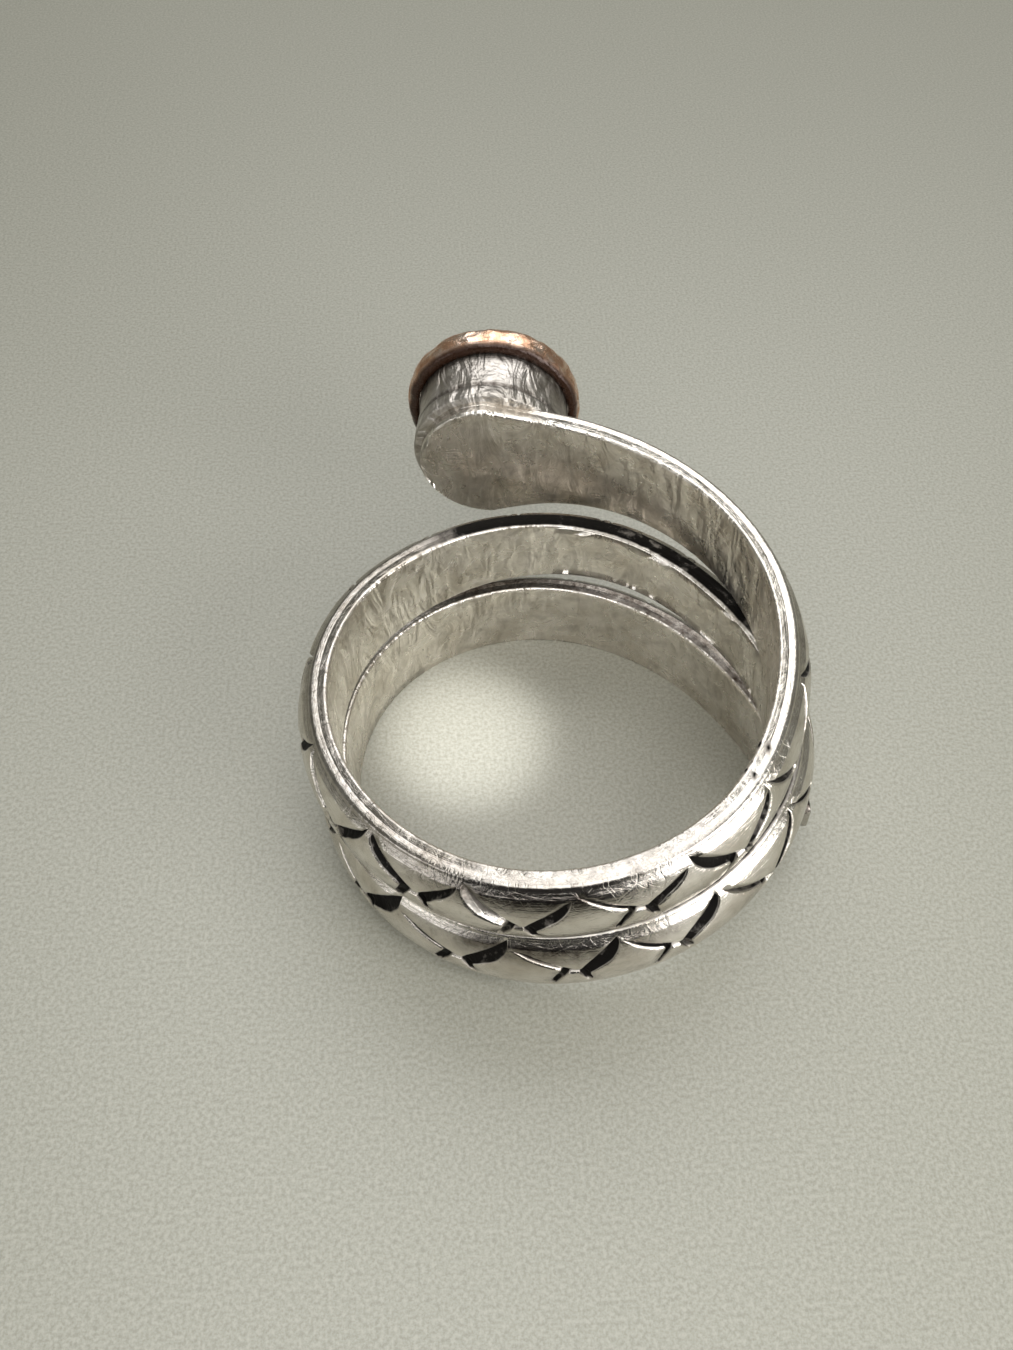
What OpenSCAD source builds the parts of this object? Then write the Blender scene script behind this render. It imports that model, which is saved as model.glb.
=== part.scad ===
// Coiled silver snake ring with a turquoise in a copper-rimmed cup.
// One strip is wound about two and a third turns. Its upper end leaves the coil
// as an arm and carries the cup, and its lower end tapers to a tail.
// The ring lies on its side: the finger hole points up, and the floor is z = 0.

/* [Finger] */
// Inner diameter of the coil
finger_d = 17.8; // [17:0.1:19]

/* [Strip] */
// Width of the strip where the turns touch
strip_w = 4.16; // [4.05:0.01:4.2]
// Thickness of the strip at its two edges
edge_t = 0.8; // [0.7:0.05:1]
// Thickness of the strip at its crown
crown_t = 1.5; // [1.3:0.05:1.7]
// Thickness of the flat arm and of its round pad
arm_t = 0.9; // [0.8:0.05:1.1]

/* [Scales] */
// Angle that one scale takes round the coil
scale_pitch = 25; // [22:0.1:28]
// Angle of the middle of the first whole scale
scale_phase = 66.6; // [55:0.1:80]
// Depth of the cut beside each scale
cut_depth = 0.4; // [0.2:0.05:0.5]
// Width of the cut on a scale's right, where 1 is the widest on the ring
cut_right = 0.9; // [0.6:0.1:1.1]
// Width of the cut on a scale's left, where 1 is the widest on the ring
cut_left = 0.8; // [0.4:0.1:1.1]

/* [Arm and pad] */
// Angle at which the arm leaves the finger circle
arm_start = 120; // [110:1:130]
// How much wider the arm's curve is than the finger circle
arm_spread = 1.65; // [1.4:0.05:1.9]
// Direction that the pad faces, from straight back towards the right
pad_turn = 7; // [0:0.1:8]
// Straight run from the arm's curve to the middle of the pad
pad_run = 1.55; // [1:0.05:2]
// Radius of the round pad
pad_r = 3.15; // [2.8:0.05:3.2]
// Height of the pad's middle above the top of the second turn
pad_z = 1.77; // [1.5:0.01:2]

/* [Cup] */
// Outer radius of the cup
cup_r = 3.5; // [3.4:0.05:3.6]
// Height of the cup from the pad to its lip
cup_h = 3.6; // [3.4:0.05:4]
// Thickness of the cup's wall
cup_wall = 0.4; // [0.35:0.05:0.5]
// Thickness of the base plate under the cup
base_t = 0.55; // [0.4:0.05:0.7]
// Radius of the base plate
base_r = 3.5; // [3.2:0.05:3.7]

/* [Copper rim] */
// Outer radius of the rim
rim_r = 4.08; // [4:0.02:4.2]
// Height of the rim along the cup
rim_h = 1.3; // [1:0.05:1.5]

/* [Stone] */
// How far the stone's dome stands above the cup's lip
dome_h = 1.3; // [0.8:0.1:1.6]

/* [Rest] */
// Lean of the coil towards the front, as it lies
lean_front = 1.5; // [1.3:0.1:1.7]
// Lean of the coil towards the left, as it lies
lean_left = 5.5; // [5.3:0.1:5.7]
// Height of the top of the second turn above the floor, along the coil's axis
rest_h = 8.09; // [8.04:0.01:8.14]

/* [Hidden] */

finger_r = finger_d / 2;

// The strip round the coil: angle from the back, clockwise seen from above, the
// height of its upper edge above the top of the second turn, how far it stands
// out from the finger circle, and its width as a share of strip_w
COIL_ANGLE = 0;
COIL_TOP = 1;
COIL_OUT = 2;
COIL_WIDTH = 3;
coil_rows = [
    [80, 3.45, 0, 1], [110, 2.97, -0.05, 1], [140, 2.5, 0.15, 1], [170, 2.1, 0.15, 1],
    [200, 1.8, 0.08, 1], [230, 1.65, 0, 1], [260, 1.5, 0.05, 1], [300, 1.1, 0.1, 1],
    [330, 0.72, -0.08, 0.94], [380, 0.05, -0.05, 0.81], [415, -0.55, 0, 0.79],
    [440, -0.95, 0.45, 0.83], [465, -1.3, 0.85, 0.94], [500, -1.75, 0.6, 1.04],
    [535, -2.25, 0.28, 1.06], [580, -2.72, 0.08, 1.05], [620, -3.05, -0.02, 1.01], [670, -3.6, 0.15, 1],
    [710, -4.07, -0.05, 1.01], [755, -4.57, -0.25, 1.03], [785, -4.85, 0.08, 1.03],
    [806, -5.1, 0.8, 0.92], [828, -5.65, 1.9, 0.38]
];
tail_end = coil_rows[len(coil_rows) - 1][COIL_ANGLE];

// Smooth curve through one column of the coil's rows, at angle a
function row_at(a, i = 0) =
    (i >= len(coil_rows) - 2 || a < coil_rows[i + 1][COIL_ANGLE]) ? i : row_at(a, i + 1);
function slope(i, col) =
    let (lo = coil_rows[max(0, i - 1)], hi = coil_rows[min(len(coil_rows) - 1, i + 1)])
    (hi[col] - lo[col]) / (hi[COIL_ANGLE] - lo[COIL_ANGLE]);
function coil(a, col) =
    let (i = row_at(a), lo = coil_rows[i], hi = coil_rows[i + 1],
         w = hi[COIL_ANGLE] - lo[COIL_ANGLE], t = (a - lo[COIL_ANGLE]) / w)
    (2 * t * t * t - 3 * t * t + 1) * lo[col] + (t * t * t - 2 * t * t + t) * w * slope(i, col)
    + (3 * t * t - 2 * t * t * t) * hi[col] + (t * t * t - t * t) * w * slope(i + 1, col);

coil_start = coil_rows[0][COIL_ANGLE];

function smooth(a, b, x) = let (t = min(1, max(0, (x - a) / (b - a)))) t * t * (3 - 2 * t);

// Plan of the strip's inner face: a circle round the finger, then the arm's wider
// curve, then a straight run. a is the angle, s the straight run and n the
// distance outward from the inner face.
arm_r = finger_r + arm_spread;
function plan(a, s, n) =
    let (out = n + (a < coil_start ? 0 : coil(a, COIL_OUT)))
    a >= arm_start ? [(finger_r + out) * sin(a), (finger_r + out) * cos(a)] :
    [-arm_spread * sin(arm_start) + (arm_r + out) * sin(a) - s * cos(a),
     -arm_spread * cos(arm_start) + (arm_r + out) * cos(a) + s * sin(a)];

// Half width of the strip, and the height of its middle. The arm widens late, at
// the rate of the power pad_flare.
pad_flare = 4;
function arm_run(a, s) = (coil_start - a) * PI / 180 * arm_r + s;
arm_length = arm_run(pad_turn, pad_run);
arm_mid = coil_rows[0][COIL_TOP] - strip_w / 2;
function half_width(a, s) =
    s > pad_run ? sqrt(max(0, pad_r * pad_r - pow(s - pad_run, 2))) :
    a < coil_start ? strip_w / 2 + (pad_r - strip_w / 2) * pow(arm_run(a, s) / arm_length, pad_flare) :
    strip_w / 2 * coil(a, COIL_WIDTH);
function middle(a, s) =
    a < coil_start ? arm_mid + (pad_z - arm_mid) * sin(90 * min(1, arm_run(a, s) / arm_length)) :
    coil(a, COIL_TOP) - strip_w / 2 * coil(a, COIL_WIDTH);

// One scale across the strip. v runs from the upper edge, 0, to the lower one, 1.
// The scale hangs in a V from its two corners to its tip, and two short legs run on
// below the tip. Its course is 0 at the corners and 1 at the tip, and then grows by 1
// for each leg_span of the width.
corner_v = 0.05;
tip_v = 0.38;
leg_span = 0.3;
function course(v) = v < tip_v ? (v - corner_v) / (tip_v - corner_v) : 1 + (v - tip_v) / leg_span;

// The two sides of a scale: course, line of the V and then of the leg, and width of
// the cut beside it, as shares of the way from the scale's middle to its edge
CUT_COURSE = 0;
CUT_LINE = 1;
CUT_WIDTH = 2;
left_side = [
    [0, 0.9, 0.06], [0.1, 0.82, 0.14], [0.5, 0.465, 0.38], [0.8, 0.2, 0.47], [1, 0.05, 0.38],
    [1.17, 0.12, 0.18], [1.8, 0.26, 0.14], [2.2, 0.34, 0.06]
];
right_side = [
    [0, 0.9, 0.06], [0.1, 0.83, 0.13], [0.5, 0.44, 0.45], [0.8, 0.175, 0.56], [1, 0.05, 0.51],
    [1.17, 0.03, 0.4], [1.35, 0.05, 0.24], [1.7, 0.15, 0.18], [1.92, 0.26, 0.06]
];
function along(side, col, c) = lookup(c, [for (row = side) [row[CUT_COURSE], row[col]]]);

// The cut is full depth by cut_full of the course, shallower in the legs and gone at
// their ends
cut_full = 0.16;
legs_begin = [1, 1.3];
leg_depth = 0.65;
leg_fade = 0.45;
function cut_deep(side, c) =
    let (end = side[len(side) - 1][CUT_COURSE])
    smooth(0, cut_full, c) * (1 - (1 - leg_depth) * smooth(legs_begin[0], legs_begin[1], c))
    * (1 - smooth(end - leg_fade, end, c));

// Columns of one scale, from its middle: share of the way to the line, share of the
// cut's width and share of the cut's depth
COL_LINE = 0;
COL_CUT = 1;
COL_DEPTH = 2;
scale_cols = [[0.5, 0, 0], [1, 0, 0], [1, 0.12, 1], [1, 0.6, 0.85], [1, 1, 0]];
cut_limit = 0.98;
function col_shift(col, side, width, c) =
    let (line = along(side, CUT_LINE, c))
    col[COL_LINE] * line + col[COL_CUT] * min(width * along(side, CUT_WIDTH, c), cut_limit - line);

// Rows of the strip's section: place across the width, share of the way from the
// edge thickness to the crown, and share of the thickness (0 on the inner face)
ROW_V = 0;
ROW_CROWN = 1;
ROW_OUT = 2;
section_rows = [
    [0.04, 0, 0], [0, 0, 0.35], [0.02, 0, 1], [0.12, 0.52, 1], [0.21, 0.74, 1], [0.3, 0.88, 1],
    [0.38, 0.97, 1], [0.43, 1, 1], [0.52, 1, 1], [0.64, 0.92, 1], [0.8, 0.6, 1], [0.98, 0, 1],
    [1, 0, 0.35], [0.96, 0, 0]
];

// Angles over which the cuts, the crown and the coil's edge thickness set in, and
// the angles before the tail's end over which cuts and crown fade
CUTS_IN = [42, 66];
CROWN_IN = [62, 100];
EDGE_IN = [20, 60];
CUTS_OUT = [25, 8];
CROWN_OUT = [40, 0];
function ramp(a, in, out) =
    smooth(in[0], in[1], a) * (1 - smooth(tail_end - out[0], tail_end - out[1], a));
function thick(a, crown) =
    let (base = arm_t + (edge_t - arm_t) * smooth(EDGE_IN[0], EDGE_IN[1], a))
    base + (crown_t - base) * crown * ramp(a, CROWN_IN, CROWN_OUT);

// Height of the floor below a place in the coil's plan. The lowest turn's edge is
// filed flat there, so that the ring lies steady.
function floor_under(p) =
    -rest_h - (tan(lean_left) * p[0] / cos(lean_front) + tan(lean_front) * p[1]);

// The scales, each a little off the even pitch as cut by hand: number and angle
hand_offs = [
    [2, 0.6], [3, -0.1], [4, -0.9], [5, -1.1], [6, -2.9], [7, -3.1],
    [17, -0.6], [18, 0.6], [19, -2.4], [20, -1.2], [21, 1.9]
];
function hand_off(k) = let (hit = [for (h = hand_offs) if (h[0] == k) h[1]]) len(hit) > 0 ? hit[0] : 0;
function scale_mid(k) = scale_phase + k * scale_pitch + hand_off(k);

// A scale's left side, towards larger angles, takes this share of the room between
// its tip and the next one
left_room = 0.58;
function scale_edge(k) = scale_mid(k - 1) + left_room * (scale_mid(k) - scale_mid(k - 1));

// A station along the strip: angle, straight run, column of a scale and the reach
// that the column's shares count in, below 0 on the scale's right
ST_ANGLE = 0;
ST_RUN = 1;
ST_COL = 2;
ST_REACH = 3;
plain = [0, 0, 0];

// A point of the strip, from a station and a row of the section
function strip_point(st, row) =
    let (v = row[ROW_V], c = course(v), col = st[ST_COL], reach = st[ST_REACH], s = st[ST_RUN],
         side = reach > 0 ? left_side : right_side,
         a = st[ST_ANGLE] + reach * col_shift(col, side, reach > 0 ? cut_left : cut_right, c),
         deep = cut_depth * cut_deep(side, c) * col[COL_DEPTH] * ramp(st[ST_ANGLE], CUTS_IN, CUTS_OUT),
         p = plan(a, s, row[ROW_OUT] * (thick(a, row[ROW_CROWN]) - deep)))
    [p[0], p[1], max(middle(a, s) + half_width(a, s) * (1 - 2 * v), floor_under(p))];

// Stations from the pad's end to the tail. The pad begins pad_blunt degrees past
// the end of its round, so that its end keeps a width.
pad_steps = 8;
pad_blunt = 4;
arm_steps = 10;
tail_steps = 3;
cols = len(scale_cols);
scale_count = floor((tail_end - scale_phase) / scale_pitch);
tail_start = scale_edge(scale_count);
stations = concat(
    [for (i = [0 : pad_steps])
        let (turn = pad_blunt + (90 - pad_blunt) * i / pad_steps)
        [pad_turn, pad_run + pad_r * cos(turn), plain, 0]],
    [[pad_turn, pad_run / 2, plain, 0]],
    [for (i = [0 : arm_steps - 1])
        [pad_turn + (scale_edge(0) - pad_turn) * i / arm_steps, 0, plain, 0]],
    [for (k = [0 : scale_count - 1], j = [0 : 2 * cols + 1])
        let (mid = scale_mid(k), low = scale_edge(k), high = scale_edge(k + 1))
        j == 0 ? [low, 0, plain, 0] :
        j <= cols ? [mid, 0, scale_cols[cols - j], low - mid] :
        j == cols + 1 ? [mid, 0, plain, 0] :
        [mid, 0, scale_cols[j - cols - 2], high - mid]],
    [for (i = [0 : tail_steps]) [tail_start + (tail_end - tail_start) * i / tail_steps, 0, plain, 0]]
);

module strip() {
    m = len(section_rows);
    n = len(stations);
    points = [for (st = stations, row = section_rows) strip_point(st, row)];
    sides = [for (i = [0 : n - 2], j = [0 : m - 1])
        let (k = (j + 1) % m) each [
            [i * m + j, i * m + k, (i + 1) * m + k],
            [i * m + j, (i + 1) * m + k, (i + 1) * m + j]]];
    ends = [[for (j = [m - 1 : -1 : 0]) j], [for (j = [0 : m - 1]) (n - 1) * m + j]];
    polyhedron(points = points, faces = concat(sides, ends), convexity = 10);
}

// Puts a piece made round the z axis on the pad, its foot on the pad's inner face
module on_pad() {
    foot = plan(pad_turn, pad_run, 0);
    translate([foot[0], foot[1], pad_z]) rotate([-90, 0, -pad_turn]) children();
}

// The cup's foot is sunk into the pad, and its floor carries the stone
cup_sink = 0.2;
seat_deep = 1.4;
lip = arm_t + cup_h;
module cup() {
    foot = arm_t - cup_sink;
    seat = lip - seat_deep;
    on_pad() rotate_extrude($fn = 64) polygon([
        [0, foot], [base_r, foot], [base_r, arm_t + base_t], [cup_r, arm_t + base_t],
        [cup_r, lip], [cup_r - cup_wall, lip], [cup_r - cup_wall, seat], [0, seat]]);
}

// Turns the coil into the pose in which it lies on the floor, with the coil's axis
// through the origin
module as_it_lies() rotate([lean_front, -lean_left, 0]) translate([0, 0, rest_h]) children();

module band() color("silver") as_it_lies() union() {
    strip();
    cup();
}

// Gap between the cup and the pieces that it holds
gap = 0.04;

// The rim is half round, fuller than a circle, and stands a little over the lip
rim_over = 0.2;
rim_round = 0.5;
rim_steps = 10;
module copper_rim() color("#b87352") as_it_lies() on_pad() rotate_extrude($fn = 64)
    translate([cup_r + gap, lip + rim_over - rim_h])
        polygon([for (i = [0 : rim_steps])
            let (turn = 180 * i / rim_steps)
            [(rim_r - cup_r - gap) * pow(sin(turn), rim_round), rim_h * (1 - cos(turn)) / 2]]);

// The stone: a straight girdle and a dome
girdle = 1.2;
dome_steps = 9;
module turquoise() color("#3fa7a5") as_it_lies() on_pad() {
    r = cup_r - cup_wall - gap;
    seat = lip - seat_deep + gap;
    shoulder = seat + girdle;
    rotate_extrude($fn = 64) polygon(concat(
        [[0, seat], [r, seat]],
        [for (i = [0 : dome_steps])
            let (turn = 90 * i / dome_steps)
            [r * cos(turn), shoulder + (lip + dome_h - shoulder) * sin(turn)]]));
}

band();
copper_rim();
turquoise();
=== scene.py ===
from math import atan2, cos, pi, radians, sin

import bmesh
import bpy
import numpy as np
from mathutils import Matrix, Vector, noise


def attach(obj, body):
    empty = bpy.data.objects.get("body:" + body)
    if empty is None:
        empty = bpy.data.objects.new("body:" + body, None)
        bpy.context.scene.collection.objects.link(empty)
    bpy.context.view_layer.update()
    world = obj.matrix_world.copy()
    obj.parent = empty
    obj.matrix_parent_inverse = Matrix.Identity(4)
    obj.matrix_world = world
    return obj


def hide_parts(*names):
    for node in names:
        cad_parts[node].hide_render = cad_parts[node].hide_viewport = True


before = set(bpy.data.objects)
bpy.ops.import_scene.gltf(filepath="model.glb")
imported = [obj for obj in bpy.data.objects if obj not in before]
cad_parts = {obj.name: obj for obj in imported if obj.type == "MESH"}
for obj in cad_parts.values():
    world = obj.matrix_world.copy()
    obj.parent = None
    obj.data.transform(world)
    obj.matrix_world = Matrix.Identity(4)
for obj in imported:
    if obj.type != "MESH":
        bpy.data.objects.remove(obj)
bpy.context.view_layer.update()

# Coiled silver snake ring with a turquoise in a copper-rimmed cup: its visible surfaces
MM = 0.001

# Sizes of the ring in millimetres and degrees, as in the source of the solids
FINGER_R = 17.8 / 2
STRIP_W = 4.16
EDGE_T = 0.8
CROWN_T = 1.5
ARM_T = 0.9
SCALE_PITCH = 25
SCALE_PHASE = 66.6
CUT_DEPTH = 0.4
ARM_START = 120
ARM_SPREAD = 1.65
PAD_TURN = 7
PAD_RUN = 1.55
PAD_R = 3.15
PAD_Z = 1.77
CUP_R = 3.5
CUP_H = 3.6
CUP_WALL = 0.4
CUP_SINK = 0.2
BASE_T = 0.55
BASE_R = 3.5
RIM_R = 4.08
RIM_H = 1.3
RIM_OVER = 0.2
SEAT_DEEP = 1.4
GIRDLE = 1.2
DOME_H = 1.3
GAP = 0.04
LEAN_FRONT = 1.5
LEAN_LEFT = 5.5
REST_H = 8.09
# The drawn surface stays this far inside the solids
SKIN = 0.006

# The strip round the coil: angle, height of the upper edge, distance out from the
# finger circle, share of the width
COIL = np.array([
    [80, 3.45, 0, 1], [110, 2.97, -0.05, 1], [140, 2.5, 0.15, 1], [170, 2.1, 0.15, 1],
    [200, 1.8, 0.08, 1], [230, 1.65, 0, 1], [260, 1.5, 0.05, 1], [300, 1.1, 0.1, 1],
    [330, 0.72, -0.08, 0.94], [380, 0.05, -0.05, 0.81], [415, -0.55, 0, 0.79],
    [440, -0.95, 0.45, 0.83], [465, -1.3, 0.85, 0.94], [500, -1.75, 0.6, 1.04],
    [535, -2.25, 0.28, 1.06], [580, -2.72, 0.08, 1.05], [620, -3.05, -0.02, 1.01],
    [670, -3.6, 0.15, 1], [710, -4.07, -0.05, 1.01], [755, -4.57, -0.25, 1.03],
    [785, -4.85, 0.08, 1.03], [806, -5.1, 0.8, 0.92], [828, -5.65, 1.9, 0.38]])
COIL_START = COIL[0, 0]
TAIL_END = COIL[-1, 0]
TOP, OUT, WIDTH = 1, 2, 3

# How the hand cut each scale: number, turn off the even pitch, place of the tip across the
# width, places of the left and right corners, widths of the left and right cuts, and how
# much of the left cut is still black. A scale that isn't listed is cut as the first row says.
HAND_CUTS = np.array([
    [-1, 0, 0.38, 0.05, 0.05, 0.8, 0.9, 1],
    [2, 0.6, 0.42, 0.06, 0.07, 0.6, 0.7, 1],
    [3, -0.1, 0.4, 0.05, 0.07, 0.9, 1, 1],
    [4, -0.9, 0.335, 0.07, 0.12, 0.4, 0.85, 1],
    [5, -1.1, 0.43, 0.05, 0.1, 1.1, 0.9, 0.45],
    [6, -2.9, 0.355, 0.03, 0.09, 0.95, 0.85, 1],
    [7, -3.1, 0.35, 0.06, 0.06, 0.8, 0.85, 0.15],
    [16, 0, 0.4, 0.06, 0.04, 0.5, 0.9, 1],
    [17, -0.6, 0.44, 0.06, 0.04, 0.45, 0.8, 0.8],
    [18, 0.6, 0.335, 0.08, 0.01, 0.5, 1.05, 1],
    [19, -2.4, 0.345, 0.12, 0.01, 0.45, 1.1, 0.6],
    [20, -1.2, 0.37, 0.17, 0.03, 0.5, 1.1, 1],
    [21, 1.9, 0.38, 0.19, 0.01, 0.5, 1.15, 1]])
OFF, TIP_V, CORNER_V, CUT_SHARE, DARK_LEFT = 1, 2, {1: 3, -1: 4}, {1: 5, -1: 6}, 7

# The strip's crown: place across the width, share of the way to the full crown
CROWN = np.array([[-0.02, 0], [0.02, 0.12], [0.1, 0.46], [0.22, 0.76], [0.34, 0.93], [0.48, 1],
                  [0.62, 0.93], [0.76, 0.7], [0.88, 0.4], [0.98, 0.06], [1.02, 0]])


def smooth(a, b, x):
    """Soft step from 0 at a to 1 at b."""
    t = np.clip((x - a) / (b - a), 0, 1)
    return t * t * (3 - 2 * t)


def between(x, rise, fall):
    """1 between two ranges: x rises over the first and falls over the second."""
    return smooth(*rise, x) * (1 - smooth(*fall, x))


def through(table, col, x):
    """Smooth curve through one column of a table, read at x."""
    at, y = table[:, 0], table[:, col]
    last = len(at) - 1

    def slope(row):
        low, high = np.maximum(row - 1, 0), np.minimum(row + 1, last)
        return (y[high] - y[low]) / (at[high] - at[low])

    i = np.clip(np.searchsorted(at, x, side="right") - 1, 0, last - 1)
    wide = at[i + 1] - at[i]
    t = (x - at[i]) / wide
    return ((2 * t**3 - 3 * t**2 + 1) * y[i] + (t**3 - 2 * t**2 + t) * wide * slope(i)
            + (3 * t**2 - 2 * t**3) * y[i + 1] + (t**3 - t**2) * wide * slope(i + 1))


# Plan, width and height of the strip. A place along it is an angle a, clockwise from the
# back, and beyond the arm's curve a straight run s towards the end of the pad.
ARM_R = FINGER_R + ARM_SPREAD


def arm_run(a, s):
    """Way along the arm from the start of the coil's table."""
    return (COIL_START - a) * pi / 180 * ARM_R + s


ARM_LENGTH = arm_run(PAD_TURN, PAD_RUN)
ARM_MID = COIL[0, TOP] - STRIP_W / 2


def plan(a, s, n):
    """Place in the coil's plan, n outward from the strip's inner face."""
    out = n + np.where(a < COIL_START, 0, through(COIL, OUT, np.maximum(a, COIL_START)))
    sa, ca = np.sin(np.radians(a)), np.cos(np.radians(a))
    s0, c0 = sin(radians(ARM_START)), cos(radians(ARM_START))
    on_coil = a >= ARM_START
    x = np.where(on_coil, (FINGER_R + out) * sa, (ARM_R + out) * sa - ARM_SPREAD * s0 - s * ca)
    y = np.where(on_coil, (FINGER_R + out) * ca, (ARM_R + out) * ca - ARM_SPREAD * c0 + s * sa)
    return x, y


def half_width(a, s):
    """Half the width across the coil, the widening arm or the round pad."""
    half = STRIP_W / 2
    pad = np.sqrt(np.maximum(0, PAD_R**2 - np.maximum(0, s - PAD_RUN)**2))
    share = np.clip(arm_run(a, s) / ARM_LENGTH, 0, 1)
    arm = half + (PAD_R - half) * share**4
    coil = half * through(COIL, WIDTH, np.maximum(a, COIL_START))
    return np.where(s > PAD_RUN, pad, np.where(a < COIL_START, arm, coil))


def middle(a, s):
    """Height of the strip's middle line."""
    share = np.clip(arm_run(a, s) / ARM_LENGTH, 0, 1)
    arm = ARM_MID + (PAD_Z - ARM_MID) * np.sin(pi / 2 * share)
    at = np.maximum(a, COIL_START)
    coil = through(COIL, TOP, at) - STRIP_W / 2 * through(COIL, WIDTH, at)
    return np.where(a < COIL_START, arm, coil)


def floor_under(x, y):
    """Height of the floor in the coil's frame: the lowest edge is filed flat there."""
    return (-REST_H - np.tan(radians(LEAN_LEFT)) * x / cos(radians(LEAN_FRONT))
            - np.tan(radians(LEAN_FRONT)) * y)


# One scale's course down the strip: 0 at its corner, 1 at its tip, then 1 for each LEG_SPAN
# of the width along the legs below the tip. For each side, as shares of the way from the
# scale's middle to its edge: course, line of the V and then of the leg, width of the cut.
LEG_SPAN = 0.3
COURSE = {
    1: np.array([[-0.1, 0.97, 0], [0, 0.96, 0], [0.08, 0.83, 0.13], [0.3, 0.64, 0.28],
                 [0.5, 0.465, 0.38], [0.8, 0.2, 0.47], [0.95, 0.065, 0.43], [1.06, 0.04, 0.31],
                 [1.16, 0.12, 0.18], [1.43, 0.175, 0.175], [1.83, 0.27, 0.16], [2.15, 0.35, 0.04],
                 [2.25, 0.37, 0]]),
    -1: np.array([[-0.1, 0.97, 0], [0, 0.96, 0], [0.1, 0.84, 0.13], [0.3, 0.64, 0.31],
                  [0.5, 0.44, 0.45], [0.8, 0.175, 0.56], [1, 0.04, 0.51], [1.08, 0.01, 0.47],
                  [1.17, 0.005, 0.4], [1.3, 0.025, 0.25], [1.5, 0.085, 0.215],
                  [1.67, 0.145, 0.19], [1.83, 0.23, 0.09], [1.92, 0.28, 0]])}


def course(v, corner, tip):
    """Where on its course a scale is at place v across the strip."""
    return np.where(v < tip, (v - corner) / (tip - corner), 1 + (v - tip) / LEG_SPAN)


def v_line(c, side):
    return np.interp(c, COURSE[side][:, 0], COURSE[side][:, 1])


def cut_width(c, side, share):
    width = np.interp(c, COURSE[side][:, 0], COURSE[side][:, 2])
    return width * (share + (1 - share) * smooth(0.9, 1.25, c))


def cut_depth(c, side):
    """Full in the cut; the legs get shallow towards their ends."""
    end = COURSE[side][-1, 0]
    legs = 1 - 0.35 * smooth(1, 1.3, c)
    return between(c, (0, 0.16), (end - 0.45, end)) * legs


def under_tip(c):
    """The gouge right below the tip, where the two legs part."""
    return between(c, (1, 1.05), (1.12, 1.24))


# One scale on one side has columns up to the V's line, across the cut, and on to the
# scale's edge. Those across the cut stand at these shares of its width and depth, and hold
# this much black where the cut is fresh and where it is worn.
INNER_COLS = 6
OUTER_COLS = 4
CUT_FLOOR = [(0, 0.05), (0.05, 0.6), (0.1, 0.9), (0.22, 1), (0.42, 0.97), (0.62, 0.85),
             (0.8, 0.58), (0.94, 0.22), (1, 0.03)]
OXIDE = [0.1, 0.95, 1, 1, 1, 1, 1, 0.9, 0]
OXIDE_WORN = [0.1, 1, 1, 1, 0.9, 0.35, 0, 0, 0]
# A scale's left side takes this share of the room between its tip and the next one. A cut
# ends within this share of the way to the scale's edge, and the gouge under the tip has
# this share of a cut's depth.
LEFT_REACH = 0.58
WIDEST_CUT = 0.99
GOUGE_SHARE = 0.6


def hand_cut(k, column):
    """What the table says of scale k, or else its first row."""
    listed = HAND_CUTS[HAND_CUTS[:, 0] == k]
    return (listed if len(listed) else HAND_CUTS)[0, column]


def scale_mid(k):
    return SCALE_PHASE + k * SCALE_PITCH + hand_cut(k, OFF)


def scale_edge(k):
    return scale_mid(k - 1) + LEFT_REACH * (scale_mid(k) - scale_mid(k - 1))


SCALES = int((TAIL_END - SCALE_PHASE) // SCALE_PITCH)

# Angles over which the cuts, the crown and the coil's edge thickness set in, and those
# before the tail's end over which cuts and crown fade
CUTS_ON = (42, 66), (TAIL_END - 25, TAIL_END - 8)
CROWN_ON = (62, 100), (TAIL_END - 40, TAIL_END)
EDGE_IN = 20, 60


def side_columns(k, side):
    """(line share, cut share, depth, oxide, share on to the edge) from the middle outward."""
    dark = hand_cut(k, DARK_LEFT) if side > 0 else 1
    inner = [(i / INNER_COLS, 0, 0, 0, 0) for i in range(1, INNER_COLS)]
    floor = [(1, c, d, dark * full + (1 - dark) * worn, 0)
             for (c, d), full, worn in zip(CUT_FLOOR, OXIDE, OXIDE_WORN)]
    outer = [(1, 1, 0, 0, i / OUTER_COLS) for i in range(1, OUTER_COLS)]
    return inner + floor + outer


# The outer face has more rows where the scales' tips lie: row and place across
FACE_V = [(0, 0.08), (12, 0.3), (28, 0.46), (38, 0.7), (44, 0.92)]
FACE_ROWS = FACE_V[-1][0] + 1
INSIDE_ROWS = 8
# Radius to which the strip's edges are rounded, outside and inside
ROUND_OUT = 0.22
ROUND_IN = 0.14


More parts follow.
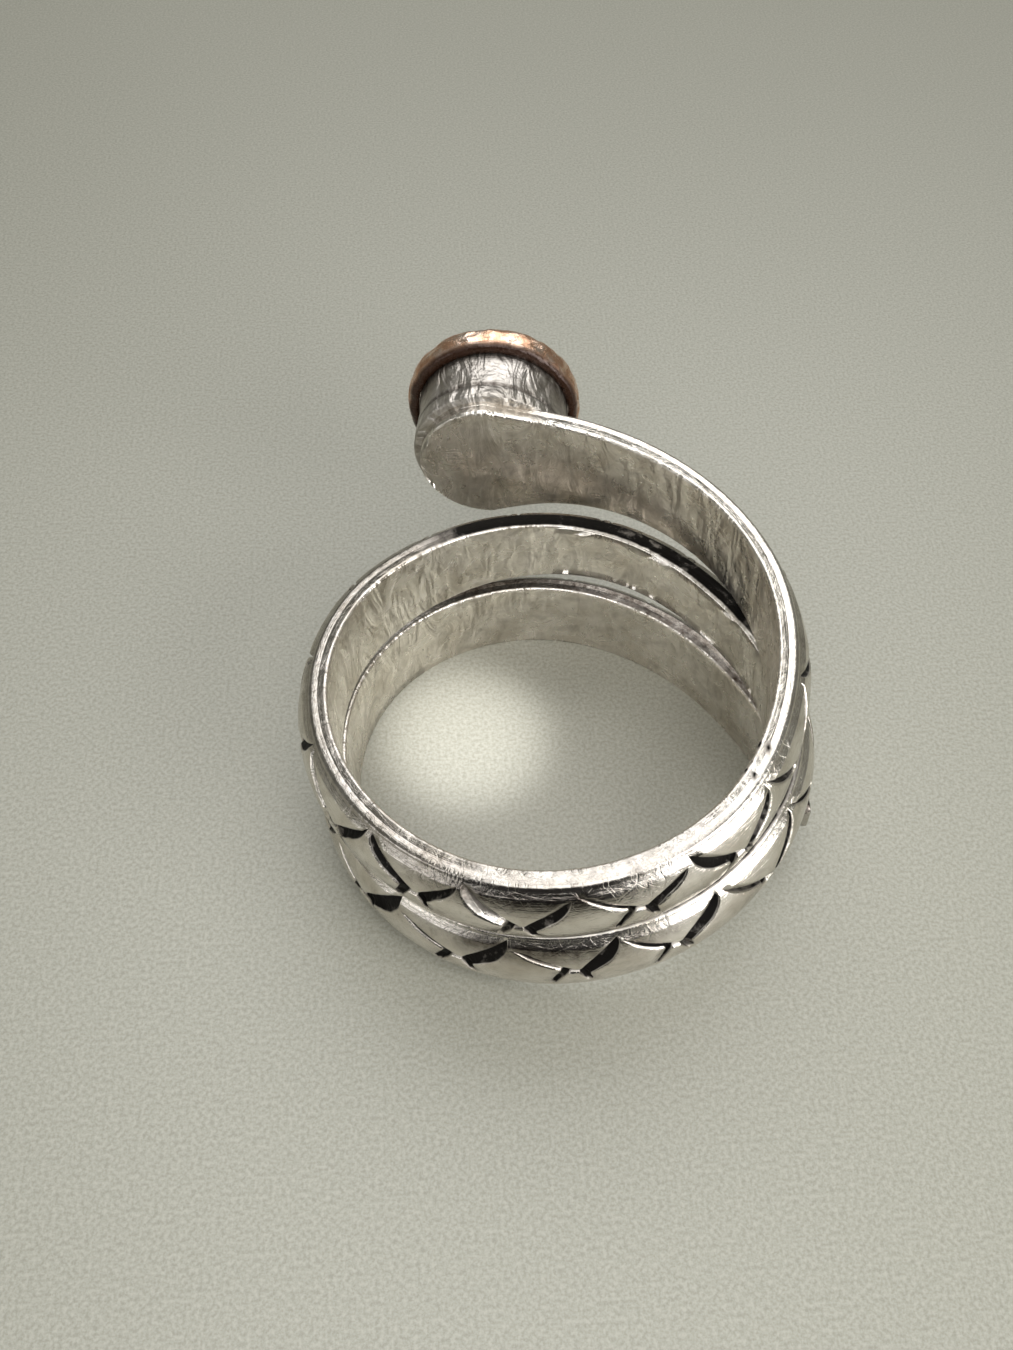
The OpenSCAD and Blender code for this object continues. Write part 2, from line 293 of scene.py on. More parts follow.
def section_rows():
    """Rows round the strip: place across, distance in from that edge, share of the
    thickness, distance in from that face."""
    rows = [(0.04 + 0.92 * (1 - i / (INSIDE_ROWS - 1)), 0, 0, 0) for i in range(INSIDE_ROWS)]
    turns = [radians(t) for t in (0, 30, 60, 90)]
    rows += [(0, ROUND_IN * (1 - sin(t)), 0, ROUND_IN * (1 - cos(t))) for t in turns]
    rows += [(0, 0, 0.5, 0)]
    rows += [(0, ROUND_OUT * (1 - cos(t)), 1, -ROUND_OUT * (1 - sin(t))) for t in turns]
    rows += [(np.interp(i, *zip(*FACE_V)), 0, 1, 0) for i in range(FACE_ROWS)]
    rows += [(1, -ROUND_OUT * (1 - cos(t)), 1, -ROUND_OUT * (1 - sin(t))) for t in turns[::-1]]
    rows += [(1, 0, 0.5, 0)]
    rows += [(1, -ROUND_IN * (1 - sin(t)), 0, ROUND_IN * (1 - cos(t))) for t in turns[::-1]]
    return np.array(rows + rows[:1])


# Stations on the pad's round, on its straight run, on the arm and on the tail. The pad
# begins PAD_BLUNT degrees past the end of its round, so that its end keeps a width.
PAD_STEPS, RUN_STEPS, ARM_STEPS, TAIL_STEPS = 28, 10, 60, 16
PAD_BLUNT = 4


def stations():
    """For each station: angle, run, reach to its side's edge, its scale and its column."""
    plain = (0,) * 7
    first, last = scale_edge(0), scale_edge(SCALES)
    out = []
    for i in range(PAD_STEPS):
        turn = radians(PAD_BLUNT + (90 - PAD_BLUNT) * i / PAD_STEPS)
        out.append((PAD_TURN, PAD_RUN + PAD_R * cos(turn)) + plain)
    out += [(PAD_TURN, PAD_RUN * (1 - i / RUN_STEPS)) + plain for i in range(RUN_STEPS)]
    out += [(PAD_TURN + (first - PAD_TURN) * i / ARM_STEPS, 0) + plain
            for i in range(ARM_STEPS)]
    for k in range(SCALES):
        low, mid, high = scale_edge(k), scale_mid(k), scale_edge(k + 1)
        out.append((low, 0) + plain)
        out += [(mid, 0, low - mid, k) + c for c in side_columns(k, -1)[::-1]]
        out.append((mid, 0, low - mid, k, 0, 0, 0, 0, 0))
        out += [(mid, 0, high - mid, k) + c for c in side_columns(k, 1)]
    out += [(last + (TAIL_END - last) * i / TAIL_STEPS, 0) + plain
            for i in range(TAIL_STEPS + 1)]
    return np.array(out)


# The pose in which the ring lies on the floor
REST = (Matrix.Rotation(radians(-LEAN_LEFT), 4, "Y")
        @ Matrix.Rotation(radians(LEAN_FRONT), 4, "X") @ Matrix.Translation((0, 0, REST_H)))
MILLIMETRES = Matrix.Scale(MM, 4)


def on_pad():
    """From a frame with its height along the cup to the pad's inner face."""
    x, y = plan(np.float64(PAD_TURN), np.float64(PAD_RUN), np.float64(0))
    return (Matrix.Translation((x, y, PAD_Z)) @ Matrix.Rotation(radians(-PAD_TURN), 4, "Z")
            @ Matrix.Rotation(radians(-90), 4, "X"))


def as_object(name, bm, material):
    mesh = bpy.data.meshes.new(name)
    bm.to_mesh(mesh)
    bm.free()
    mesh.materials.append(material)
    obj = bpy.data.objects.new(name, mesh)
    bpy.context.scene.collection.objects.link(obj)
    return obj


def piece(name, bm, material, *nodes, slot):
    """Makes a smooth object that rides on the one body and takes the place of CAD nodes."""
    for face in bm.faces:
        face.smooth = True
    obj = as_object(name, bm, material)
    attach(obj, "root")
    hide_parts(*nodes)


def wobble(p, size, seed):
    """Low noise from -1 to 1 at a point in millimetres."""
    return noise.noise(Vector(p) / size + Vector((seed, seed * 1.7, 3.1)))


# Colours and nodes
def colour(text):
    """sRGB hex to linear."""
    parts = [int(text[i:i + 2], 16) / 255 for i in (1, 3, 5)]
    return tuple(c / 12.92 if c <= 0.04045 else ((c + 0.055) / 1.055)**2.4
                 for c in parts) + (1,)


def node(material, kind, links=(), stops=(), **settings):
    """Adds one node. A setting goes to the node itself, to a socket by its name, or to a
    socket by its number as in0, in1. A link comes from a socket, or from a node's first
    output in use. Stops are the marks of a colour ramp."""
    made = material.node_tree.nodes.new(kind)
    for key, value in settings.items():
        named = [s for s in made.inputs if s.enabled and s.name == key.replace("_", " ")]
        if hasattr(made, key):
            setattr(made, key, value)
        elif key[2:].isdigit():
            made.inputs[int(key[2:])].default_value = value
        else:
            named[0].default_value = value
    for at, value in stops[2:]:
        made.color_ramp.elements.new(at)
    for i, (at, value) in enumerate(stops):
        made.color_ramp.elements[i].position = at
        grey = not isinstance(value, tuple)
        made.color_ramp.elements[i].color = (value, value, value, 1) if grey else value
    for source, target in links:
        if isinstance(source, bpy.types.Node):
            source = next(output for output in source.outputs if output.enabled)
        material.node_tree.links.new(source, made.inputs[target])
    return made


def new_material(name):
    """An empty material and its own coordinates in millimetres."""
    material = bpy.data.materials.new(name)
    material.use_nodes = True
    material.node_tree.nodes.clear()
    coordinates = node(material, "ShaderNodeTexCoord")
    place = node(material, "ShaderNodeVectorMath", [(coordinates.outputs["Object"], 0)],
                 operation="SCALE", Scale=1 / MM)
    return material, place


def sterling_silver():
    """Sterling silver, forged, filed and rubbed up by hand after it was blackened: the high
    places are worn bright, a brown tarnish stays in patches and the cuts stay matt black.
    Sizes are in millimetres. Real file lines and scratches are some 0.03 wide, too fine to
    show, so both are drawn coarser."""
    clouds, patches, grit = 1.818, 1.111, 0.3846
    file_length, file_spacing = 3.077, 0.1282
    wave_along, wave_across = 1.111, 2.857
    m, place = new_material("sterling_silver")
    # Painted on the mesh: black in the cuts with painted shade at the seams, inner faces and
    # satin walls, thin tarnish with painted dark reflection
    oxide = node(m, "ShaderNodeAttribute", attribute_name="oxide").outputs["Fac"]
    inside = node(m, "ShaderNodeAttribute", attribute_name="inside").outputs["Fac"]
    tarnish_and_shade_on = node(m, "ShaderNodeAttribute", attribute_name="film").outputs["Fac"]
    strip = node(m, "ShaderNodeUVMap", uv_map="strip")

    def scratches(turn, length, width, thin):
        """Fine lines on the strip's own map: about length long and width apart."""
        lay = node(m, "ShaderNodeMapping", [(strip, "Vector")], Rotation=(0, 0, radians(turn)))
        drawn = node(m, "ShaderNodeMapping", [(lay, "Vector")],
                     Scale=(1 / length, 1 / width, 1))
        wave = node(m, "ShaderNodeTexNoise", [(drawn, "Vector")], Scale=1, Detail=1,
                    Roughness=0.4, Distortion=0.2)
        return node(m, "ShaderNodeValToRGB", [(wave, "Fac")],
                    ((0.5 - thin, 0), (0.5, 1), (0.5 + thin, 0)))

    cloud = node(m, "ShaderNodeTexNoise", [(place, "Vector")], Scale=1 / clouds, Detail=5,
                 Roughness=0.6)
    patch = node(m, "ShaderNodeTexNoise", [(place, "Vector")], Scale=1 / patches, Detail=4,
                 Roughness=0.6, Distortion=0.8)
    grime = node(m, "ShaderNodeTexNoise", [(place, "Vector")], Scale=1 / grit, Detail=6,
                 Roughness=0.7)
    files = node(m, "ShaderNodeMapping", [(strip, "Vector")],
                 Scale=(1 / file_length, 1 / file_spacing, 1))
    filed = node(m, "ShaderNodeTexNoise", [(files, "Vector")], Scale=1, Detail=4, Roughness=0.6)
    marks = node(m, "ShaderNodeMath", [(scratches(8, 6.0, 0.7, 0.02), 0),
                                       (scratches(-38, 3.0, 0.6, 0.02), 1)], operation="ADD")
    marks = node(m, "ShaderNodeMath", [(marks, 0), (scratches(62, 1.6, 0.5, 0.02), 1)],
                 operation="ADD")

    # Bright silver in clouds, then brown in patches and specks, then the thin tarnish, which also
    # carries painted dark reflection and painted shade
    silver = node(m, "ShaderNodeValToRGB", [(cloud, "Fac")],
                  ((0.3, colour("#ccc4b8")), (0.52, colour("#e7e1d8")), (0.7, colour("#f7f1ea"))))
    brown = node(m, "ShaderNodeValToRGB", [(patch, "Fac")], ((0.52, 0), (0.74, 0.4)))
    specks = node(m, "ShaderNodeValToRGB", [(grime, "Fac")], ((0.64, 0), (0.72, 0.6)))
    brown = node(m, "ShaderNodeMath", [(brown, 0), (specks, 1)], operation="MAXIMUM")
    worn = node(m, "ShaderNodeMix", [(brown, 0), (silver, 6)], data_type="RGBA",
                in7=colour("#7c7266"))
    thin = node(m, "ShaderNodeMath", [(grime, 0)], operation="MULTIPLY_ADD", in1=1.6, in2=0.15)
    thin = node(m, "ShaderNodeMath", [(tarnish_and_shade_on, 0), (thin, 1)], operation="MULTIPLY",
                use_clamp=True)
    worn = node(m, "ShaderNodeMix", [(thin, 0), (worn, 6)], data_type="RGBA",
                in7=colour("#3c3029"))
    # Where the black is thin it is rubbed off in patches
    hold = node(m, "ShaderNodeMix", [(patch, 2), (grime, 3)], in0=0.4)
    hold = node(m, "ShaderNodeMath", [(hold, 0)], operation="MULTIPLY_ADD", in1=1.7, in2=0.05)
    # The black holds the oxide in the cuts and the painted shade of seams and edges
    black = node(m, "ShaderNodeMath", [(oxide, 0), (hold, 1)], operation="MULTIPLY")
    black = node(m, "ShaderNodeValToRGB", [(black, "Fac")], ((0.16, 0), (0.82, 1)))
    soot = node(m, "ShaderNodeValToRGB", [(black, "Fac")],
                ((0.35, colour("#4a3d31")), (0.95, colour("#14110e"))))
    base = node(m, "ShaderNodeMix", [(black, 0), (worn, 6), (soot, 7)], data_type="RGBA")
    metal = node(m, "ShaderNodeMath", [(black, 0)], operation="MULTIPLY_ADD", in1=-0.25, in2=1)
    rough = node(m, "ShaderNodeValToRGB", [(patch, "Fac")], ((0.3, 0.08), (0.7, 0.22)))
    rough = node(m, "ShaderNodeMath", [(inside, 0), (rough, 2)], operation="MULTIPLY_ADD",
                 in1=0.14)
    rough = node(m, "ShaderNodeMath", [(black, 0), (rough, 2)], operation="MULTIPLY_ADD",
                 in1=0.5)

    # Waves that the mandrel and the bending left in the inner face
    bends = node(m, "ShaderNodeMapping", [(strip, "Vector")],
                 Scale=(1 / wave_along, 1 / wave_across, 1), Rotation=(0, 0, radians(25)))
    waves = node(m, "ShaderNodeTexNoise", [(bends, "Vector")], Scale=1, Detail=3, Roughness=0.5,
                 Distortion=1.2)
    waves = node(m, "ShaderNodeMath", [(waves, 0), (inside, 1)], operation="MULTIPLY")
    height = node(m, "ShaderNodeMath", [(filed, 0), (patch, 2)], operation="MULTIPLY_ADD",
                  in1=0.8)
    bump = node(m, "ShaderNodeBump", [(height, "Height")], Strength=0.5, Distance=0.05 * MM)
    bump = node(m, "ShaderNodeBump", [(waves, "Height"), (bump, "Normal")], Strength=0.5,
                Distance=0.5 * MM)
    bump = node(m, "ShaderNodeBump", [(marks, "Height"), (bump, "Normal")], Strength=0.2,
                Distance=0.03 * MM, invert=True)
    pits = node(m, "ShaderNodeBump", [(grime, "Height"), (bump, "Normal")], Strength=0.45,
                Distance=0.06 * MM)
    bsdf = node(m, "ShaderNodeBsdfPrincipled", [(base, "Base Color"), (rough, "Roughness"),
                                                (metal, "Metallic"), (pits, "Normal")])
    node(m, "ShaderNodeOutputMaterial", [(bsdf, "Surface")])
    return m


def hammered_copper():
    """Copper wire beaten half round with a small hammer: pale rose on the struck facets, with
    painted shade in dark brown at its foot. The facets are some 0.7 mm across."""
    facet = 0.7143
    m, place = new_material("hammered_copper")
    low = node(m, "ShaderNodeAttribute", attribute_name="oxide").outputs["Fac"]
    patch = node(m, "ShaderNodeTexNoise", [(place, "Vector")], Scale=1 / facet, Detail=5,
                 Roughness=0.65)
    base = node(m, "ShaderNodeValToRGB", [(patch, "Fac")],
                ((0.32, colour("#b98a6c")), (0.48, colour("#e0b597")), (0.66, colour("#f8e2d2"))))
    # The painted shade at the foot turns the copper dark brown and less like metal
    base = node(m, "ShaderNodeMix", [(low, 0), (base, 6)], data_type="RGBA",
                in7=colour("#3a2316"))
    metal = node(m, "ShaderNodeMath", [(low, 0)], operation="MULTIPLY_ADD", in1=-0.7, in2=1)
    rough = node(m, "ShaderNodeValToRGB", [(patch, "Fac")], ((0.35, 0.36), (0.65, 0.16)))
    bump = node(m, "ShaderNodeBump", [(patch, "Height")], Strength=0.9, Distance=0.1 * MM)
    bsdf = node(m, "ShaderNodeBsdfPrincipled", [(base, "Base Color"), (rough, "Roughness"),
                                                (metal, "Metallic"), (bump, "Normal")])
    node(m, "ShaderNodeOutputMaterial", [(bsdf, "Surface")])
    return m


def polished_turquoise():
    """Turquoise, ground and polished to a waxy gloss: clouded blue green with a few sunk
    veins of the brown rock that it grew in. Clouds are 1.7 mm across, and the veins lie
    2.4 mm apart and bend every 1.1 mm."""
    clouds, veins, bends = 1.667, 2.381, 1.111
    m, place = new_material("polished_turquoise")
    cloud = node(m, "ShaderNodeTexNoise", [(place, "Vector")], Scale=1 / clouds, Detail=5,
                 Roughness=0.55)
    base = node(m, "ShaderNodeValToRGB", [(cloud, "Fac")],
                ((0.3, colour("#2f8f92")), (0.5, colour("#46adab")), (0.7, colour("#6cc5bd"))))
    bend = node(m, "ShaderNodeTexNoise", [(place, "Vector")], Scale=1 / bends, Detail=4)
    bent = node(m, "ShaderNodeVectorMath", [(bend.outputs["Color"], 0), (place, 1)],
                operation="ADD")
    cells = node(m, "ShaderNodeTexVoronoi", [(bent, "Vector")], feature="DISTANCE_TO_EDGE",
                 Scale=1 / veins)
    vein = node(m, "ShaderNodeValToRGB", [(cells, "Fac")], ((0.0, 1), (0.03, 0)))
    broken = node(m, "ShaderNodeValToRGB", [(bend, "Fac")], ((0.42, 0), (0.6, 1)))
    vein = node(m, "ShaderNodeMath", [(vein, 0), (broken, 1)], operation="MULTIPLY")
    base = node(m, "ShaderNodeMix", [(vein, 0), (base, 6)], data_type="RGBA",
                in7=colour("#5a4130"))
    bump = node(m, "ShaderNodeBump", [(vein, "Height")], Strength=0.3, Distance=0.04 * MM,
                invert=True)
    bsdf = node(m, "ShaderNodeBsdfPrincipled", [(base, "Base Color"), (bump, "Normal")],
                Roughness=0.22, IOR=1.61)
    node(m, "ShaderNodeOutputMaterial", [(bsdf, "Surface")])
    return m


def pale_floor():
    """Plain board with a sprayed grey-green paint: a fine grain and a soft gloss. The real
    grain of some 0.05 mm wouldn't show, so it is drawn at 0.17 mm."""
    drops = 0.1667
    m, place = new_material("painted_board")
    grain = node(m, "ShaderNodeTexNoise", [(place, "Vector")], Scale=1 / drops, Detail=3,
                 Roughness=0.7)
    base = node(m, "ShaderNodeValToRGB", [(grain, "Fac")],
                ((0.35, colour("#98978a")), (0.65, colour("#b3b2a6"))))
    bump = node(m, "ShaderNodeBump", [(grain, "Height")], Strength=0.3, Distance=0.03 * MM)
    bsdf = node(m, "ShaderNodeBsdfPrincipled", [(base, "Base Color"), (bump, "Normal")],
                Roughness=0.42)
    node(m, "ShaderNodeOutputMaterial", [(bsdf, "Surface")])
    return m


SILVER = sterling_silver()
COPPER = hammered_copper()
TURQUOISE = polished_turquoise()
BOARD = pale_floor()


def painted_seam_shade(a, v, face, n_in):
    """Painted shade where one turn lies against the next, and painted dark reflection on the
    upper edges of the turns at the back; also one nick and a few file cuts drawn black. Face is 0
    on the inner face, 0.5 on the flat of the edges and 1 on the outer face."""
    flat = (face > 0.1) * (face < 0.9)
    turned_in = (face > 0.9) * smooth(0.05, 0.18, -n_in)
    line = np.maximum(flat, turned_in)
    rounding = np.maximum(flat, (face > 0.9) * smooth(0.0, 0.02, -n_in))
    rounding = np.maximum(rounding, (face < 0.1) * smooth(0.04, 0.1, n_in))
    # Painted shade on the upper edge at the front, where it lies under the turn above
    front_seam = between(a, (440, 470), (655, 690))
    # Painted dark reflection on the upper edges of the turns at the back
    back_edges = between(a, (310, 350), (428, 440))
    back_edges = np.maximum(back_edges, 0.3 * smooth(665, 705, a))
    # Painted shade on the lower edge, where a turn lies on the next one or on the floor
    below = between(a, (95, 125), (330, 345)) + smooth(420, 460, a)
    # One deep nick and a few file cuts in the upper edge at the right
    nick = np.exp(-((a - 123.5) / 1.1)**2) + 0.8 * np.exp(-((a - 131.5) / 0.5)**2)
    nick = np.minimum(1.7 * nick, 1) * (face < 0.9) * (n_in < 0.12)
    top = np.maximum(0.9 * line * front_seam, rounding * back_edges)
    top = (v < 0.01) * np.maximum(top, nick)
    return np.maximum(top, 0.9 * (v > 0.99) * line * below)


def film(a, v, face, n_in):
    """Thin brown tarnish, partly painted dark reflection: under the upper edge at the front, and
    on the upper edge itself in the first turn and the last."""
    turn = a % 360
    front = 0.35 * between(turn, (135, 160), (212, 240))
    front = np.maximum(front, 0.75 * between(turn, (165, 180), (202, 212)))
    front = front * (face > 0.9) * between(v, (0, 0.03), (0.1, 0.36))
    # The upper edges of the first turn and of the last get a painted dark reflection
    edge = np.maximum(face > 0.1, smooth(0.06, 0.12, n_in)) * (v < 0.01)
    first_edge = 0.45 * between(a, (128, 150), (320, 345))
    return np.maximum(front, edge * np.maximum(first_edge, 0.8 * smooth(650, 700, a)))


def strip_grid():
    """The strip's points in millimetres, by station and row of the section, the same grid
    of places on its flat map, and the grids of what is painted on it."""
    st, rows = stations(), section_rows()
    a0, s, reach, scale, in_v, in_cut, deep, ox, on = (st[:, i:i + 1] for i in range(9))
    v, v_in, thick_share, n_in = (rows[:, i][None, :] for i in range(4))
    left = reach > 0
    face = thick_share * np.ones_like(a0)

    def hand(left_column, right_column):
        return np.array([[hand_cut(int(k[0]), left_column if on_left[0] else right_column)]
                         for k, on_left in zip(scale, left)])

    # Each column's share of the way from its scale's middle to the scale's edge
    c = course(v, hand(CORNER_V[1], CORNER_V[-1]), hand(TIP_V, TIP_V))
    width = hand(CUT_SHARE[1], CUT_SHARE[-1])
    line = np.where(left, v_line(c, 1), v_line(c, -1))
    cut = np.where(left, cut_width(c, 1, width), cut_width(c, -1, width))
    cut = np.minimum(cut, WIDEST_CUT - line)
    share = in_v * line + in_cut * cut
    share = np.where(on > 0, line + cut + (1 - line - cut) * on, share)
    a = a0 + reach * share

    # Depth of the cuts, thickness of the strip, and the place of each point
    cuts_on = (reach != 0) * (face > 0.9) * between(a0, *CUTS_ON)
    depth = deep * np.where(left, cut_depth(c, 1), cut_depth(c, -1))
    gouge = (in_cut == 0) * (on == 0) * under_tip(c)
    sunk = CUT_DEPTH * cuts_on * np.maximum(depth, GOUGE_SHARE * gouge)
    crown = through(CROWN, 1, np.clip(v, 0, 1)) * (face > 0.9)
    base = ARM_T + (EDGE_T - ARM_T) * smooth(*EDGE_IN, a)
    thick = base + (CROWN_T - base) * crown * between(a, *CROWN_ON)
    half = half_width(a, s)
    # The edges' rounding gets smaller where the pad's end is narrow
    small = np.clip(half / 1.2, 0.05, 1)
    x, y = plan(a, s, face * (thick - sunk - SKIN) + n_in * small)
    z = middle(a, s) + half * (1 - 2 * v) - v_in * small
    z = np.maximum(z, floor_under(x, y))

    oxide = cuts_on * np.maximum(ox * smooth(0, 0.3, depth / np.maximum(deep, 0.01)), gouge)
    # The painted shade of the seams and edges joins the oxide in the cuts
    oxide = np.maximum(oxide, painted_seam_shade(a, v, face, n_in))
    painted = {"oxide": np.clip(oxide, 0, 1), "inside": (face < 0.1).astype(float),
               "film": np.clip(film(a, v, face, n_in), 0, 1)}
    along = np.where(a < COIL_START, -arm_run(a, s), np.radians(a - COIL_START) * FINGER_R)
    steps = np.abs(np.diff(v[0])) * STRIP_W + np.abs(np.diff(thick_share[0])) * EDGE_T
    across = np.broadcast_to(np.cumsum(np.append(0, steps)), along.shape)
    return np.stack([x, y, z], -1), np.stack([along, across], -1), painted


def snake_band():
    """The coiled strip: a flat grid bent round its section and along the coil."""
    points, flat, painted = strip_grid()
    n, m = points.shape[:2]
    bm = bmesh.new()
    bmesh.ops.create_grid(bm, x_segments=m - 1, y_segments=n - 1, size=1)
    layers = {key: bm.verts.layers.float.new(key) for key in painted}
    uv = bm.loops.layers.uv.new("strip")
    bm.verts.ensure_lookup_table()
    # The flat grid reaches from -1 to 1, and a vertex's place there says which point it is
    spots = [(round((vert.co.y + 1) / 2 * (n - 1)), round((vert.co.x + 1) / 2 * (m - 1)))
             for vert in bm.verts]
    for vert, spot in zip(bm.verts, spots):
        vert.co = REST @ Vector(points[spot]) * MM
        for key, layer in layers.items():
            vert[layer] = painted[key][spot]
    for face in bm.faces:
        for loop in face.loops:
            loop[uv].uv = flat[spots[loop.vert.index]]
    bmesh.ops.remove_doubles(bm, verts=bm.verts, dist=1e-4 * MM)
    bmesh.ops.holes_fill(bm, edges=[e for e in bm.edges if e.is_boundary], sides=0)
    bmesh.ops.recalc_face_normals(bm, faces=bm.faces)
    piece("snake_band", bm, SILVER, "band", slot="silver")


def turned(profile, steps):
    """Turns a profile of (radius, height) round the z axis. Its map runs round it and up."""
    bm = bmesh.new()
    verts = [bm.verts.new((r, 0, z)) for r, z in profile]
    edges = [bm.edges.new(pair) for pair in zip(verts, verts[1:])]
    bmesh.ops.spin(bm, geom=verts + edges, cent=(0, 0, 0), axis=(0, 0, 1), dvec=(0, 0, 0),
                   angle=2 * pi, steps=steps, use_merge=True)
    bmesh.ops.remove_doubles(bm, verts=bm.verts, dist=1e-4)
    bmesh.ops.recalc_face_normals(bm, faces=bm.faces)
    uv = bm.loops.layers.uv.new("strip")
    widest = max(r for r, _ in profile)
    for face in bm.faces:
        round_mid = atan2(*face.calc_center_median().yx)
        for loop in face.loops:
            x, y, z = loop.vert.co
            turn = atan2(y, x) if x or y else round_mid
            turn += 2 * pi * round((round_mid - turn) / (2 * pi))
            loop[uv].uv = (turn * widest, z + Vector((x, y)).length)
    return bm


def placed(bm):
    """Takes a bmesh from the setting's own frame to its place on the pad, in metres."""
    bmesh.ops.transform(bm, matrix=MILLIMETRES @ REST @ on_pad(), verts=bm.verts)
    return bm


def radius(vert):
    return vert.co.xy.length


# How satin and crumpled the cup's wall is, where the strip's inner face has 1
CUP_SATIN = 1.8


def stone_cup():
    """Base plate and cup of the setting, a little uneven from the hammer."""
    lip, foot = ARM_T + CUP_H, ARM_T - CUP_SINK
    seat, plate = lip - SEAT_DEEP, ARM_T + BASE_T
    bore = CUP_R - CUP_WALL
    under_rim = lip - RIM_H
    # Base plate, wall with a slight waist, lip, and bore with the seat
    profile = [(0, foot), (BASE_R - 0.1, foot), (BASE_R, foot + 0.08)]
    profile += [(BASE_R, foot + (plate - foot) * t) for t in (0.3, 0.6)]
    profile += [(BASE_R, plate - 0.08), (BASE_R - 0.06, plate), (CUP_R - 0.07, plate + 0.05)]
    profile += [(CUP_R - 0.01 - 0.05 * sin(pi * min(i / 9, 1)),
                 plate + 0.12 + (lip - plate - 0.2) * i / 14) for i in range(15)]
    profile += [(CUP_R - 0.08, lip), (bore + 0.05, lip), (bore, lip - 0.05)]
    profile += [(bore, seat + 0.05), (bore - 0.05, seat), (0, seat)]
    bm = turned(profile, 128)
    # Shallow dents in the wall, none under the rim
    for vert in bm.verts:
        if radius(vert) > CUP_R - 0.2 and plate < vert.co.z < lip - 0.1:
            dent = min(0, 0.05 * wobble(vert.co, 1.1, 5) - 0.02)
            dent *= 1 - smooth(under_rim - 0.5, under_rim, vert.co.z)
            grow = 1 + dent / radius(vert)
            vert.co.x *= grow
            vert.co.y *= grow
    dark, satin, brown = (bm.verts.layers.float.new(key) for key in ("oxide", "inside", "film"))
    # Darker at the joint of the wall and the plate, and painted shade just under the rim; both
    # also take more of the brown film
    for vert in bm.verts:
        joint_and_rim_shade = max(smooth(0.25, 0.05, abs(vert.co.z - plate - 0.05)),
                   smooth(under_rim - 0.3, under_rim + 0.1, vert.co.z))
        vert[dark] = float(0.3 * joint_and_rim_shade) if radius(vert) > CUP_R - 0.3 else 0.0
        vert[satin] = CUP_SATIN
        vert[brown] = float(0.42 + 0.35 * joint_and_rim_shade)
    piece("stone_cup", placed(bm), SILVER, "band", slot="silver")


def copper_rim():
    """Half-round copper rim with struck facets and a groove above its foot."""
    inner = CUP_R + GAP
    wide = RIM_R - inner
    low = ARM_T + CUP_H + RIM_OVER - RIM_H
    steps = 24
    profile = [(inner, low)]
    for i in range(1, steps):
        turn = pi * i / steps
        profile.append((inner + wide * sin(turn)**0.5, low + RIM_H * (1 - cos(turn)) / 2))
    profile += [(inner, low + RIM_H * t) for t in (1, 0.75, 0.5, 0.25, 0)]
    bm = turned(profile, 192)
    dark = bm.verts.layers.float.new("oxide")
    for vert in bm.verts:
        share = (radius(vert) - inner) / wide
        height = (vert.co.z - low) / RIM_H
        # Painted shade: dark at the foot under the half round and next to the cup
        vert[dark] = float(np.clip(smooth(0.3, 0.06, height) + 0.4 * smooth(0.4, 0.1, share),
                                   0, 1))
        if share > 0.3:
            struck = 0.09 * wobble(vert.co, 0.75, 9) + 0.05 * wobble(vert.co, 0.3, 4)
            dent = min(0, struck - 0.02)
            groove = -0.05 * smooth(0.1, 0, abs(height - 0.3))
            grow = 1 + (dent + groove) / radius(vert)
            vert.co.x *= grow
            vert.co.y *= grow
    piece("hammered_rim", placed(bm), COPPER, "copper_rim", slot="copper")


def turquoise_stone():
    """Round cabochon with a straight girdle."""
    r, lip = CUP_R - CUP_WALL - GAP, ARM_T + CUP_H
    seat = lip - SEAT_DEEP + GAP
    shoulder = seat + GIRDLE
    dome = lip + DOME_H - SKIN - shoulder
    steps = 32
    profile = [(0, seat), (r * 0.5, seat), (r - 0.05, seat), (r, seat + 0.05), (r, seat + 0.6)]
    for i in range(steps + 1):
        turn = pi / 2 * i / steps
        profile.append((r * cos(turn), shoulder + dome * sin(turn)))
    piece("turquoise_cabochon", placed(turned(profile, 128)), TURQUOISE, "turquoise",
          slot="turquoise")


snake_band()
stone_cup()
copper_rim()
turquoise_stone()


# Floor
def board():
    bm = bmesh.new()
    bmesh.ops.create_grid(bm, x_segments=1, y_segments=1, size=0.6)
    as_object("board", bm, BOARD)


board()


# Light and camera. A light's place is its turn from the front towards the right, its
# height above the floor as an angle, and its distance from the ring in metres.
def towards(turn, rise, far):
    turn, rise = radians(turn), radians(rise)
    return far * Vector((sin(turn) * cos(rise), -cos(turn) * cos(rise), sin(rise)))


RING_MIDDLE = Vector((0, 0, 0.007))

# Soft windows and screens: turn, rise, distance, size of the face in metres, its brightness,
# and whether it lights the board. One that doesn't shows in the metal only.
LAMPS = {
    "sky_back": (180, 58, 0.3, (0.32, 0.2), 2.3, True),
    "sky_top": (-15, 58, 0.1, (0.075, 0.065), 2.8, True),
    "sky_middle": (180, 86, 0.25, (0.2, 0.16), 1.7, False),
    "sky_low": (166, 36, 0.3, (0.26, 0.09), 1.6, False),
    "window_right": (44, 34, 0.13, (0.08, 0.05), 6, True),
    "sheet_right": (46, 14, 0.09, (0.06, 0.04), 5.5, False),
    "screen_left": (-57, 10, 0.1, (0.05, 0.03), 2, False)}


